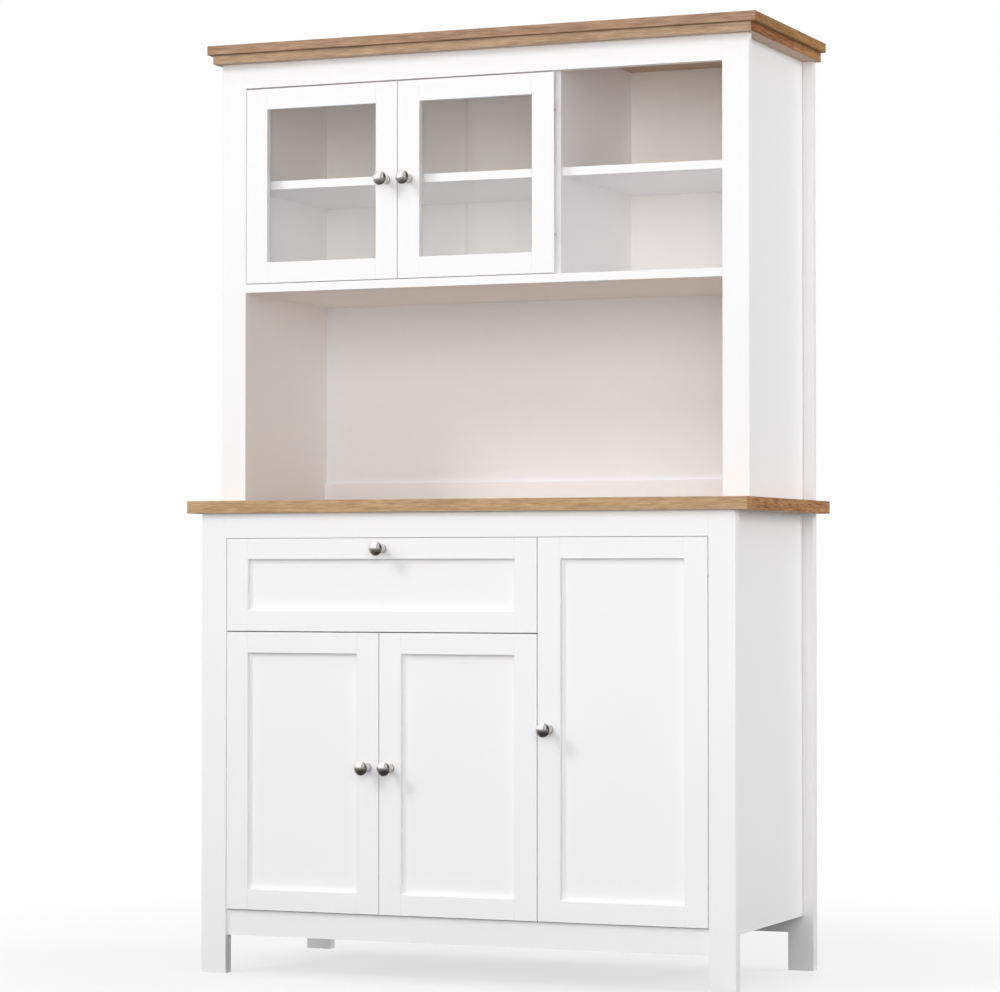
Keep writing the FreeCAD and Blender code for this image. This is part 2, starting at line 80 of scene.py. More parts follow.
# Points nearer than this are one point
SAME_POINT_M = 1e-9

# Where the cupboard's front and rear face
FRONTWARD = (0.0, -1.0, 0.0)
REARWARD = (0.0, 1.0, 0.0)

# Sockets of the Mix node, which names several alike
VECTOR_A, VECTOR_B, VECTOR_RESULT = 4, 5, 1
COLOUR_A, COLOUR_B, COLOUR_RESULT = 6, 7, 2

Socket = bpy.types.NodeSocket
Tree = bpy.types.ShaderNodeTree
Point = tuple[float, float, float]


def linear(code: str) -> tuple[float, float, float, float]:
    """Turn an sRGB hex colour into linear light by the sRGB curve.

    Args:
        code: six hex digits, such as "f2f1f3".

    Returns:
        Red, green, blue and an alpha of 1.
    """
    channels = np.array([int(code[i:i + 2], 16) for i in (0, 2, 4)]) / 255.0
    light = np.where(channels <= 0.04045, channels / 12.92, ((channels + 0.055) / 1.055) ** 2.4)
    return (*(float(c) for c in light), 1.0)


def add_node(tree: Tree, kind: str, inputs: dict[str | int, object] | None = None,
             **settings: object) -> bpy.types.ShaderNode:
    """Add one shader node with its settings, values and links.

    Args:
        tree: the node tree that gets the node.
        kind: the node's type name without its ShaderNode prefix.
        inputs: socket name or number, with a value or another node's output socket.
        settings: properties of the node itself.

    Returns:
        The new node.
    """
    node = tree.nodes.new("ShaderNode" + kind)
    for name, value in settings.items():
        setattr(node, name, value)
    for name, value in (inputs or {}).items():
        if isinstance(value, Socket):
            tree.links.new(value, node.inputs[name])
        else:
            node.inputs[name].default_value = value
    return node


def seen_ray(tree: Tree) -> Socket:
    """Add the test for rays that are seen: from the camera, mirrored or through glass.

    Args:
        tree: the node tree that gets the test.

    Returns:
        A value of 1 on those rays and 0 on the others.
    """
    ray = add_node(tree, "LightPath").outputs
    either = add_node(tree, "Math", {0: ray["Is Camera Ray"], 1: ray["Is Glossy Ray"]}, operation="MAXIMUM")
    return add_node(tree, "Math", {0: either.outputs[0], 1: ray["Is Transmission Ray"]},
                    operation="MAXIMUM").outputs[0]


@dataclass(frozen=True)
class Finish:
    """A finish that makes one material from the object's own coordinates."""

    name: str

    def make(self) -> bpy.types.Material:
        """Build the material of this finish.

        Returns:
            The finished material.
        """
        material = bpy.data.materials.new(self.name)
        material.use_nodes = True
        tree = material.node_tree
        tree.nodes.clear()
        place = add_node(tree, "TexCoord").outputs["Object"]
        add_node(tree, "OutputMaterial", {"Surface": self.shade(tree, place)})
        return material

    def shade(self, tree: Tree, place: Socket) -> Socket:
        """Add the finish's own nodes.

        Args:
            tree: the material's node tree.
            place: the object coordinates, in metres.

        Returns:
            The shader output.
        """
        raise NotImplementedError


@dataclass(frozen=True)
class PaintedBoard(Finish):
    """Lacquer, paint or plastic on a flat board: an even colour, a soft mottle and a faint orange peel."""

    colour: str = "faf9fa"
    shade_colour: str = "f8f7f8"
    mottle_mm: float = 90.0
    mottle_detail: float = 3.0
    peel_mm: float = 3.0
    peel_detail: float = 1.0
    peel_height_mm: float = 0.012
    peel_strength: float = 0.3
    rough_low: float = 0.36
    rough_high: float = 0.44

    def tone(self, tree: Tree, place: Socket) -> Socket:
        """Mix two near colours by a large noise.

        Args:
            tree: the material's node tree.
            place: the object coordinates, in metres.

        Returns:
            The colour output.
        """
        mottle = add_node(tree, "TexNoise", {"Vector": place, "Scale": 1 / (self.mottle_mm * MM),
                                             "Detail": self.mottle_detail})
        mixed = add_node(tree, "Mix", {0: mottle.outputs["Fac"], COLOUR_A: linear(self.colour),
                                       COLOUR_B: linear(self.shade_colour)}, data_type="RGBA")
        return mixed.outputs[COLOUR_RESULT]

    def shade(self, tree: Tree, place: Socket) -> Socket:
        """Add the colour, and a fine noise that drives roughness and bump.

        Args:
            tree: the material's node tree.
            place: the object coordinates, in metres.

        Returns:
            The shader output.
        """
        peel = add_node(tree, "TexNoise", {"Vector": place, "Scale": 1 / (self.peel_mm * MM),
                                           "Detail": self.peel_detail})
        rough = add_node(tree, "MapRange", {"Value": peel.outputs["Fac"], "To Min": self.rough_low,
                                            "To Max": self.rough_high})
        bump = add_node(tree, "Bump", {"Height": peel.outputs["Fac"], "Strength": self.peel_strength,
                                       "Distance": self.peel_height_mm * MM})
        shader = add_node(tree, "BsdfPrincipled", {"Base Color": self.tone(tree, place),
                                                   "Roughness": rough.outputs["Result"],
                                                   "Normal": bump.outputs["Normal"]})
        return shader.outputs["BSDF"]


@dataclass(frozen=True)
class PaintedHardboard(PaintedBoard):
    """Hardboard with a rolled coat of paint: a closer mottle, a coarser peel and one plain white behind."""

    mottle_mm: float = 26.0
    peel_mm: float = 4.0
    peel_height_mm: float = 0.03
    rough_low: float = 0.42
    rough_high: float = 0.55
    rear_colour: str = "f6f5f4"

    def tone(self, tree: Tree, place: Socket) -> Socket:
        """Keep the mottled colour in front, and give the face that points to the rear its own.

        Args:
            tree: the material's node tree.
            place: the object coordinates, in metres.

        Returns:
            The colour output.
        """
        normal = add_node(tree, "NewGeometry").outputs["Normal"]
        rearward = add_node(tree, "SeparateXYZ", {0: normal}).outputs["Y"]
        behind = add_node(tree, "Math", {0: rearward, 1: FACING}, operation="GREATER_THAN").outputs[0]
        mixed = add_node(tree, "Mix", {0: behind, COLOUR_A: super().tone(tree, place),
                                       COLOUR_B: linear(self.rear_colour)}, data_type="RGBA")
        return mixed.outputs[COLOUR_RESULT]


class Tones(NamedTuple):
    """Two sRGB colours of a wood: between the grain lines, and in them."""

    light: str
    dark: str


@dataclass(frozen=True)
class GrainedWood(Finish):
    """Oiled wood: a broad figure and fine fibres along the board, redder ends and a paler underside.

    The fibres are drawn coarser than real pores, which are too fine to show. On the ends the grain runs along
    Y and slants. A board with a glued joint has tones of its own on the end's tail, behind the joint.
    """

    face: Tones
    end: Tones
    under: Tones
    tail: Tones | None = None
    joint_mm: float = 0.0
    slant: float = 0.06
    figure_mm: float = 8.0
    figure_stretch: float = 11.0
    figure_share: float = 0.42
    fibre_mm: float = 1.9
    fibre_stretch: float = 15.0
    fibre_share: float = 0.73
    noise_detail: float = 3.0
    noise_bend: float = 0.5
    noise_low: float = 0.33
    noise_high: float = 0.68
    pore_depth_mm: float = 0.08
    pore_strength: float = 0.4
    rough_low: float = 0.46
    rough_high: float = 0.6

    def shade(self, tree: Tree, place: Socket) -> Socket:
        """Let two stretched noises give the grain's depth, and the face's direction pick the pair of tones.

        Args:
            tree: the material's node tree.
            place: the object coordinates, in metres.

        Returns:
            The shader output.
        """
        axes = add_node(tree, "SeparateXYZ", {0: place}).outputs
        normal = add_node(tree, "SeparateXYZ", {0: add_node(tree, "NewGeometry").outputs["Normal"]}).outputs
        sideways = add_node(tree, "Math", {0: normal["X"]}, operation="ABSOLUTE").outputs[0]
        at_end = add_node(tree, "Math", {0: sideways, 1: FACING}, operation="GREATER_THAN").outputs[0]
        below = add_node(tree, "Math", {0: normal["Z"], 1: -FACING}, operation="LESS_THAN").outputs[0]
        places = [(below, self.under), (at_end, self.end)]

        fall = add_node(tree, "Math", {0: axes["Y"], 1: self.slant, 2: axes["Z"]}, operation="MULTIPLY_ADD")
        turned_place = add_node(tree, "CombineXYZ", {"X": axes["Y"], "Y": axes["X"], "Z": fall.outputs[0]})
        along = add_node(tree, "Mix", {0: at_end, VECTOR_A: place, VECTOR_B: turned_place.outputs[0]},
                         data_type="VECTOR").outputs[VECTOR_RESULT]
        if self.tail:
            behind = add_node(tree, "Math", {0: axes["Y"], 1: self.joint_mm * MM}, operation="GREATER_THAN")
            at_tail = add_node(tree, "Math", {0: behind.outputs[0], 1: at_end},
                               operation="MULTIPLY").outputs[0]
            along = add_node(tree, "VectorMath", {0: at_tail, 1: along}, operation="ADD").outputs[0]
            places.append((at_tail, self.tail))
        figure = self.stretched(tree, along, self.figure_mm, self.figure_stretch, self.figure_share)
        fibre = self.stretched(tree, along, self.fibre_mm, self.fibre_stretch, self.fibre_share)
        depth = add_node(tree, "Math", {0: figure, 1: fibre}, operation="ADD", use_clamp=True).outputs[0]

        tone = self.grain(tree, depth, self.face)
        for mask, tones in places:
            tone = add_node(tree, "Mix", {0: mask, COLOUR_A: tone, COLOUR_B: self.grain(tree, depth, tones)},
                            data_type="RGBA").outputs[COLOUR_RESULT]
        rough = add_node(tree, "MapRange", {"Value": depth, "To Min": self.rough_low,
                                            "To Max": self.rough_high})
        bump = add_node(tree, "Bump", {"Height": fibre, "Strength": self.pore_strength,
                                       "Distance": self.pore_depth_mm * MM}, invert=True)
        shader = add_node(tree, "BsdfPrincipled", {"Base Color": tone, "Roughness": rough.outputs["Result"],
                                                   "Normal": bump.outputs["Normal"]})
        return shader.outputs["BSDF"]

    def stretched(self, tree: Tree, along: Socket, size_mm: float, stretch: float, share: float) -> Socket:
        """Add a noise that is drawn out along X.

        Args:
            tree: the material's node tree.
            along: coordinates with X along the grain.
            size_mm: width of a streak.
            stretch: its length over its width.
            share: how deep the darkest streak is.

        Returns:
            A value from 0 to the share.
        """
        drawn = add_node(tree, "Mapping", {"Vector": along, "Scale": (1 / stretch, 1, 1)}).outputs[0]
        noise = add_node(tree, "TexNoise", {"Vector": drawn, "Scale": 1 / (size_mm * MM),
                                            "Detail": self.noise_detail, "Distortion": self.noise_bend})
        return add_node(tree, "MapRange", {"Value": noise.outputs["Fac"], "From Min": self.noise_low,
                                           "From Max": self.noise_high, "To Max": share}).outputs["Result"]

    def grain(self, tree: Tree, depth: Socket, tones: Tones) -> Socket:
        """Mix a pair of tones by the grain's depth."""
        return add_node(tree, "Mix", {0: depth, COLOUR_A: linear(tones.light), COLOUR_B: linear(tones.dark)},
                        data_type="RGBA").outputs[COLOUR_RESULT]


@dataclass(frozen=True)
class PlatedMetal(Finish):
    """Nickel plate, satin or as pressed: grey metal whose shine varies a little where it was buffed."""

    colour: str
    smear_colour: str
    rough_low: float
    rough_high: float
    smear_mm: float = 4.0
    smear_detail: float = 4.0
    noise_low: float = 0.3
    noise_high: float = 0.7

    def shade(self, tree: Tree, place: Socket) -> Socket:
        """Let one noise mix two greys and set the roughness.

        Args:
            tree: the material's node tree.
            place: the object coordinates, in metres.

        Returns:
            The shader output.
        """
        smear = add_node(tree, "TexNoise", {"Vector": place, "Scale": 1 / (self.smear_mm * MM),
                                            "Detail": self.smear_detail})
        tone = add_node(tree, "Mix", {0: smear.outputs["Fac"], COLOUR_A: linear(self.colour),
                                      COLOUR_B: linear(self.smear_colour)}, data_type="RGBA")
        rough = add_node(tree, "MapRange", {"Value": smear.outputs["Fac"], "From Min": self.noise_low,
                                            "From Max": self.noise_high, "To Min": self.rough_low,
                                            "To Max": self.rough_high})
        shader = add_node(tree, "BsdfPrincipled", {"Base Color": tone.outputs[COLOUR_RESULT], "Metallic": 1.0,
                                                   "Roughness": rough.outputs["Result"]})
        return shader.outputs["BSDF"]


@dataclass(frozen=True)
class ClearGlass(Finish):
    """Clear float glass: no colour of its own, a thin reflection and the faint waves of the float bath."""

    colour: str = "fcfdfc"
    index: float = 1.5
    wave_mm: float = 70.0
    wave_height_mm: float = 0.02
    wave_strength: float = 0.2

    def shade(self, tree: Tree, place: Socket) -> Socket:
        """Add glass for the eye; light on its way to the shelves goes straight through.

        Args:
            tree: the material's node tree.
            place: the object coordinates, in metres.

        Returns:
            The shader output.
        """
        wave = add_node(tree, "TexNoise", {"Vector": place, "Scale": 1 / (self.wave_mm * MM), "Detail": 0.0})
        bump = add_node(tree, "Bump", {"Height": wave.outputs["Fac"], "Strength": self.wave_strength,
                                       "Distance": self.wave_height_mm * MM})
        glass = add_node(tree, "BsdfPrincipled", {"Base Color": linear(self.colour), "Roughness": 0.0,
                                                  "IOR": self.index, "Transmission Weight": 1.0,
                                                  "Normal": bump.outputs["Normal"]})
        clear = add_node(tree, "BsdfTransparent", {"Color": linear(WHITE)})
        ray = add_node(tree, "LightPath").outputs
        through = add_node(tree, "Math", {0: ray["Is Shadow Ray"], 1: ray["Is Diffuse Ray"]},
                           operation="MAXIMUM")
        pane = add_node(tree, "MixShader", {0: through.outputs[0], 1: glass.outputs["BSDF"],
                                            2: clear.outputs["BSDF"]})
        return pane.outputs["Shader"]


@dataclass(frozen=True)
class StudioFloor(Finish):
    """Matt grey floor that shows pale: it sends little light back up, and keeps the cupboard's shadow.

    It glows for rays that are seen, and runs out into plain white away from the cupboard.
    """

    colour: str = "8c8c8c"
    glow: float = 0.68
    near_m: float = 0.7
    far_m: float = 1.9
    fleck_mm: float = 400.0
    rough_low: float = 0.85
    rough_high: float = 0.95

    def shade(self, tree: Tree, place: Socket) -> Socket:
        """Add a rough grey surface with a glow for rays that are seen, blended into white with the distance.

        Args:
            tree: the material's node tree.
            place: the object coordinates, in metres.

        Returns:
            The shader output.
        """
        fleck = add_node(tree, "TexNoise", {"Vector": place, "Scale": 1 / (self.fleck_mm * MM)})
        rough = add_node(tree, "MapRange", {"Value": fleck.outputs["Fac"], "To Min": self.rough_low,
                                            "To Max": self.rough_high})
        paint = add_node(tree, "BsdfPrincipled", {"Base Color": linear(self.colour),
                                                  "Roughness": rough.outputs["Result"],
                                                  "Specular IOR Level": 0.0}).outputs["BSDF"]
        glow = add_node(tree, "Emission", {"Strength": self.glow}).outputs["Emission"]
        near = add_node(tree, "AddShader", {0: paint, 1: glow}).outputs["Shader"]
        white = add_node(tree, "Emission", {"Strength": 1.0}).outputs["Emission"]
        away = add_node(tree, "VectorMath", {0: place}, operation="LENGTH").outputs["Value"]
        fade = add_node(tree, "MapRange", {"Value": away, "From Min": self.near_m, "From Max": self.far_m},
                        interpolation_type="SMOOTHSTEP").outputs["Result"]
        bright = add_node(tree, "MixShader", {0: fade, 1: near, 2: white}).outputs["Shader"]
        mix = add_node(tree, "MixShader", {0: seen_ray(tree), 1: paint, 2: bright})
        return mix.outputs["Shader"]


@dataclass(frozen=True)
class GlowingScreen(Finish):
    """Cloth of a studio screen, evenly lit: only its brightness shows, in mirror images."""

    colour: str
    glow: float
    uneven: float = 0.2
    fold_mm: float = 900.0

    def shade(self, tree: Tree, place: Socket) -> Socket:
        """Add a glow that wide folds make a little uneven.

        Args:
            tree: the material's node tree.
            place: the object coordinates, in metres.

        Returns:
            The shader output.
        """
        fold = add_node(tree, "TexNoise", {"Vector": place, "Scale": 1 / (self.fold_mm * MM)})
        strength = add_node(tree, "MapRange", {"Value": fold.outputs["Fac"],
                                               "To Min": (1 - self.uneven) * self.glow,
                                               "To Max": (1 + self.uneven) * self.glow})
        return add_node(tree, "Emission", {"Color": linear(self.colour),
                                           "Strength": strength.outputs["Result"]}).outputs["Emission"]


class Surface(Enum):
    """The finishes of the cupboard and its studio, each named for the real material, and for the light
    painted into it where there is some.
    """

    # Sprayed satin lacquer: an even, neutral white with soft, wide highlights
    LACQUER = PaintedBoard("white_satin_lacquer")
    # Roller-painted hardboard: a duller, lightly mottled white, with a faint blue tint painted in to cool the
    # warm light that bounces off the oak
    HARDBOARD = PaintedHardboard("white_painted_hardboard", "f8f9fb", "f4f5f7")
    # The same board, lighter and warmer behind the glass and in the cubbies: painted light, standing in for
    # the warm light in those compartments
    HARDBOARD_WITH_PAINTED_LIGHT = PaintedHardboard("white_hardboard_painted_warm_light", "fcfaf6", "f9f7f3")
    # Extruded plastic strip: a slightly creamy white, smoother than the boards beside it
    PLASTIC = PaintedBoard("white_extruded_plastic", "f6f3f0", "f0edea", mottle_mm=40.0, peel_mm=2.0,
                           rough_low=0.4, rough_high=0.48)
    # Oiled oak, sanded: matt honey brown with fine darker fibres, and red-brown ends
    WORKTOP_OAK = GrainedWood("oiled_oak_worktop", face=Tones("d2af83", "a38059"),
                              end=Tones("d4a06c", "7a4a28"), under=Tones("c9ae92", "ab9178"))
    # A greyer, darker oak for the cornice's upper board
    UPPER_OAK = GrainedWood("oiled_oak_upper_cornice", face=Tones("bd987b", "8a694e"),
                            end=Tones("c2935f", "845a30"), under=Tones("b48a64", "8f6a48"), slant=0.12)
    # A paler oak for the lower board, whose end shows the glued joint of two staves
    LOWER_OAK = GrainedWood("oiled_oak_lower_cornice", face=Tones("c9a886", "9a7a5f"),
                            end=Tones("c48958", "67371c"), under=Tones("d2b59d", "b4977f"),
                            tail=Tones("d19c67", "8b5e35"), joint_mm=93.0, slant=-0.03)
    # White-washed softwood: a pale, dry wood whose grain only just shows
    SOFTWOOD = GrainedWood("whitewashed_softwood", face=Tones("efe9df", "e0d4c3"),
                           end=Tones("e6dccd", "d2c3ae"), under=Tones("efe9df", "e0d4c3"))
    # Satin nickel plate: grey metal with soft-edged reflections
    NICKEL = PlatedMetal("satin_nickel_plate", "dad9d8", "d0cecc", 0.2, 0.26)
    # Pressed steel with a thin nickel plate: a darker, duller grey metal
    STEEL = PlatedMetal("pressed_nickel_plated_steel", "bdbbb8", "a9a7a4", 0.26, 0.38, smear_mm=9.0)
    # Float glass: seen by its reflection alone
    GLASS = ClearGlass("clear_float_glass")
    # Felt and cloth of the studio, from dark to bright: the shades that the knobs mirror
    FELT = GlowingScreen("dark_studio_felt", "cbbfb4", 0.09)
    GREY_FELT = GlowingScreen("grey_studio_felt", "cbc3bb", 0.24)
    PALE_FELT = GlowingScreen("pale_studio_felt", "d6d0ca", 0.5)
    REFLECTOR = GlowingScreen("white_studio_reflector", WHITE, 1.5)
    # Matt floor paint: no shine, only the shadow
    FLOOR = StudioFloor("matt_studio_floor")


class Palette:
    """Makes each material once, when it is first asked for."""

    def __init__(self) -> None:
        """Start with no material made."""
        self.made: dict[Surface, bpy.types.Material] = {}

    def paint(self, piece: bpy.types.Object, surface: Surface) -> None:
        """Give a piece one of the finishes.

        Args:
            piece: the object that is dressed.
            surface: its finish.
        """
        if surface not in self.made:
            self.made[surface] = surface.value.make()
        piece.data.materials.clear()
        piece.data.materials.append(self.made[surface])


def ring_mesh(name: str, groups: list[np.ndarray]) -> bpy.types.Object:
    """Make one piece of several closed skins, each a stack of rings.

    Row i, column j of a group is a point; neighbouring rows and columns join in four-sided faces, columns
    wrap round, and the first and last rows, each drawn together in one point, close the skin.

    Args:
        name: the piece's name.
        groups: arrays of shape (rows, sides, 3) in metres, wound so that the faces point outwards.

    Returns:
        The new object, smooth, in the scene.
    """
    points, quads, fans, start = [], [], [], 0
    for rings in groups:
        rows, sides, _ = rings.shape
        inner = rings[1:-1].reshape(-1, 3)
        poles = np.stack([rings[0].mean(0), rings[-1].mean(0)])
        points.append(np.concatenate([inner, poles]))
        index = np.arange((rows - 2) * sides).reshape(rows - 2, sides) + start
        right = np.roll(index, -1, axis=1)
        quads.append(np.stack([index[:-1], right[:-1], right[1:], index[1:]], -1).reshape(-1, 4))
        first = np.full(sides, start + len(inner))
        fans.append(np.stack([first, right[0], index[0]], -1))
        fans.append(np.stack([first + 1, index[-1], right[-1]], -1))
        start += len(inner) + 2
    mesh = bpy.data.meshes.new(name)
    faces = np.concatenate(quads).tolist() + np.concatenate(fans).tolist()
    mesh.from_pydata(np.concatenate(points).tolist(), [], faces)
    mesh.polygons.foreach_set("use_smooth", np.ones(len(mesh.polygons), bool))
    piece = bpy.data.objects.new(name, mesh)
    bpy.context.scene.collection.objects.link(piece)
    return piece


def turned(profile: np.ndarray, sides: int) -> np.ndarray:
    """Turn a profile about the Z axis.

    Point (i, j) lies at the profile's radius i and height i, turned by j parts of a full circle.

    Args:
        profile: rows of radius and height, from the lowest pole to the highest.
        sides: points round the circle.

    Returns:
        Rings of shape (rows, sides, 3).
    """
    angle = np.linspace(0.0, 2 * np.pi, sides, endpoint=False)
    radius = profile[:, :1]
    height = np.broadcast_to(profile[:, 1:], (len(profile), sides))
    return np.stack([radius * np.cos(angle), radius * np.sin(angle), height], -1)


def aimed(rings: np.ndarray, direction: Point, place: Point) -> np.ndarray:
    """Turn rings so that their Z axis points in a direction, and set them in place.

    Args:
        rings: points about the Z axis.
        direction: where Z goes.
        place: where the origin goes.

    Returns:
        The moved points.
    """
    turn = np.array(Vector((0, 0, 1)).rotation_difference(Vector(direction)).to_matrix())
    return rings @ turn.T + np.array(place)


@dataclass(frozen=True)
class TurnedKnob:
    """A turned nickel knob: round foot, waisted neck, flared underside, rounded rim and domed face."""

    node: str
    body: str
    foot_mm: float = 8.6
    foot_height_mm: float = 2.2
    foot_round_mm: float = 0.7
    neck_mm: float = 5.6
    neck_height_mm: float = 12.0
    dome_mm: float = 5.6
    rim_round_mm: float = 0.7
    steps: int = 15
    sides: int = 96

    def profile(self, head: float, reach: float) -> np.ndarray:
        """The knob's outline: radius and height in metres.

        The foot ends in a quarter round. A cosine wave narrows from the foot to the neck, a sine wave flares
        out to the rim, a half ellipse rounds the rim, and a circle's arc through the rim and the tip is the
        face.

        Args:
            head: radius of the head.
            reach: height of the tip above the door.

        Returns:
            Rows of radius and height.
        """
        foot, neck, edge = self.foot_mm * MM, self.neck_mm * MM, self.foot_round_mm * MM
        foot_top, waist = self.foot_height_mm * MM, self.neck_height_mm * MM
        bead, dome = self.rim_round_mm * MM, self.dome_mm * MM
        rim = reach - dome - 2 * bead
        share = np.linspace(0.0, 1.0, self.steps)
        wave = (1 - np.cos(np.pi * share)) / 2
        corner = share * np.pi / 2
        half = share * np.pi
        under = head - bead / 2
        sphere = (under ** 2 + dome ** 2) / (2 * dome)
        face = np.arcsin(under / sphere) * (1 - share)
        parts = (
            (np.array([0.0, foot]), np.array([0.0, 0.0])),
            (foot - edge * (1 - np.cos(corner)), foot_top - edge * (1 - np.sin(corner))),
            (foot - edge + (neck - foot + edge) * wave, foot_top + (waist - foot_top) * share),
            (neck + (under - neck) * (1 - np.cos(corner)), waist + (rim - waist) * np.sin(corner)),
            (under + bead / 2 * np.sin(half), rim + bead * (1 - np.cos(half))),
            (sphere * np.sin(face), reach - sphere * (1 - np.cos(face))),
        )
        rows = np.concatenate([np.stack(part, -1) for part in parts])
        step = np.linalg.norm(np.diff(rows, axis=0), axis=1)
        return rows[np.concatenate([[True], step > SAME_POINT_M])]

    def build(self) -> bpy.types.Object:
        """Make the knob where its node is.

        Returns:
            The knob, riding its body and standing for its node.
        """
        low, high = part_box(self.node)
        profile = self.profile((high.x - low.x) / 2, high.y - low.y)
        place = ((low.x + high.x) / 2, high.y, (low.z + high.z) / 2)
        piece = ring_mesh(self.node.replace("knob", "turned_knob"),
                          [aimed(turned(profile, self.sides), FRONTWARD, place)])
        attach(piece, self.body)
        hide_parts(self.node)
        return piece


@dataclass(frozen=True)
class PanScrew:
    """A pan-head screw with a cross recess, seen only by its head."""

    head_mm: float = 3.4
    height_mm: float = 1.7
    edge_share: float = 0.45
    slot_mm: float = 0.55
    slot_reach_mm: float = 1.9
    slot_depth_mm: float = 1.0
    slot_wall_mm: float = 0.25
    slot_fade_mm: float = 0.4
    steps: int = 25
    sides: int = 48

    def rings(self, direction: Point, place: Point) -> np.ndarray:
        """The head's skin: a low dome whose height falls off as the fourth power of the radius.

        The cross recess is cut where the distance to either slot's middle line is under the slot's half
        width, and fades out past the slot's reach.

        Args:
            direction: where the head points.
            place: the middle of its seat.

        Returns:
            Rings of the closed skin.
        """
        share = np.concatenate([[0.0, 1.0], np.linspace(1.0, 0.0, self.steps)])[:, None]
        angle = np.linspace(0.0, 2 * np.pi, self.sides, endpoint=False)[None, :]
        x, y = share * self.head_mm * np.cos(angle), share * self.head_mm * np.sin(angle)
        rise = self.edge_share + (1 - self.edge_share) * (1 - share ** 4)
        middle = np.minimum(np.abs(x), np.abs(y))
        across = np.clip((self.slot_mm - middle) / self.slot_wall_mm, 0, 1)
        outwards = np.clip((self.slot_reach_mm - np.hypot(x, y)) / self.slot_fade_mm, 0, 1)
        z = self.height_mm * rise - self.slot_depth_mm * across * outwards
        z[:2] = 0.0
        return aimed(np.stack([x, y, z], -1) * MM, direction, place)


@dataclass(frozen=True)
class FrontHardware:
    """The screw that holds the knob of a door or of the drawer."""

    body: str
    board_mm: float = 16.0
    screw: PanScrew = PanScrew()

    def knob_screw(self) -> bpy.types.Object:
        """Make the screw head behind the knob, on the back of the board that carries it.

        Returns:
            The screw head.
        """
        low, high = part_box(self.body + "_knob")
        place = ((low.x + high.x) / 2, high.y + self.board_mm * MM, (low.z + high.z) / 2)
        return ring_mesh(self.body + "_knob_screw", [self.screw.rings(REARWARD, place)])

    def screws(self) -> list[bpy.types.Object]:
        """Make the knob's screw alone."""
        return [self.knob_screw()]

    def build(self) -> list[bpy.types.Object]:
        """Make the screws and fix them to their body.

        Returns:
            The pieces, riding the body.
        """
        pieces = self.screws()
        for piece in pieces:
            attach(piece, self.body)
        return pieces


@dataclass(frozen=True)
class DoorHardware(FrontHardware):
    """The screws that hold one door's hinge cups and its knob."""

    flange_mm: float = 44.0
    screw_inset_mm: float = 5.0

    def screws(self) -> list[bpy.types.Object]:
        """Make the hinge screws, two to a cup, and the knob's screw.

        Returns:
            The two pieces.
        """
        low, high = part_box(self.body + "_hinge_cups")
        x = (low.x + high.x) / 2
        inset, flange = self.screw_inset_mm * MM, self.flange_mm * MM
        levels = (low.z + inset, low.z + flange - inset, high.z - flange + inset, high.z - inset)
        hinge = ring_mesh(self.body + "_hinge_screws",
                          [self.screw.rings(REARWARD, (x, high.y, level)) for level in levels])
        return [hinge, self.knob_screw()]


@dataclass(frozen=True)
class Carcass:
    """The boards, backs and hardware that stay as they are modelled, and get their finish."""

    by_node: tuple[tuple[str, Surface], ...] = (
        ("worktop", Surface.WORKTOP_OAK),
        ("cornice_upper_board", Surface.UPPER_OAK),
        ("cornice_lower_board", Surface.LOWER_OAK),
        # The backs behind the glass and in the cubbies take the hardboard that carries painted warm light
        ("cabinet_back", Surface.HARDBOARD_WITH_PAINTED_LIGHT),
        ("cubby_back", Surface.HARDBOARD_WITH_PAINTED_LIGHT),
    )
    by_slot: tuple[tuple[str, Surface], ...] = (
        ("white_lacquered_wood", Surface.LACQUER),
        ("white_hardboard", Surface.HARDBOARD),
        ("white_plastic", Surface.PLASTIC),
        ("bare_wood", Surface.SOFTWOOD),
        ("clear_glass", Surface.GLASS),
        ("polished_metal", Surface.NICKEL),
        ("nickel_plated_steel", Surface.STEEL),
    )

    def dress(self, palette: Palette) -> None:
        """Give every node the finish of its slot, and the oak boards and upper backs their own.

        Args:
            palette: where the materials come from.
        """
        finishes, boards = dict(self.by_slot), dict(self.by_node)
        for row in frame["record"]["subparts"]:
            name = row["node"]
            surface = boards[name] if name in boards else finishes[row["material_slot"]]
            palette.paint(frame["nodes"][name], surface)
            LOG.info("%s: %s", name, surface.value.name)


@dataclass(frozen=True)
class Softbox:
    """A square lamp of even white light, aimed at a point of the cupboard; mirrors show the cards instead."""

    name: str
    place: Point
    side_m: float
    watts: float
    aim: Point = (0.0, 0.0, 0.9)

    def hang(self) -> bpy.types.Object:
        """Put the lamp in the scene.

        Returns:
            The lamp.
        """
        light = bpy.data.lights.new(self.name, "AREA")
        light.size = self.side_m
        light.energy = self.watts
        lamp = bpy.data.objects.new(self.name, light)
        lamp.visible_glossy = False
        lamp.location = self.place
        lamp.rotation_euler = (Vector(self.aim) - Vector(self.place)).to_track_quat("-Z", "Y").to_euler()
        bpy.context.scene.collection.objects.link(lamp)
        return lamp


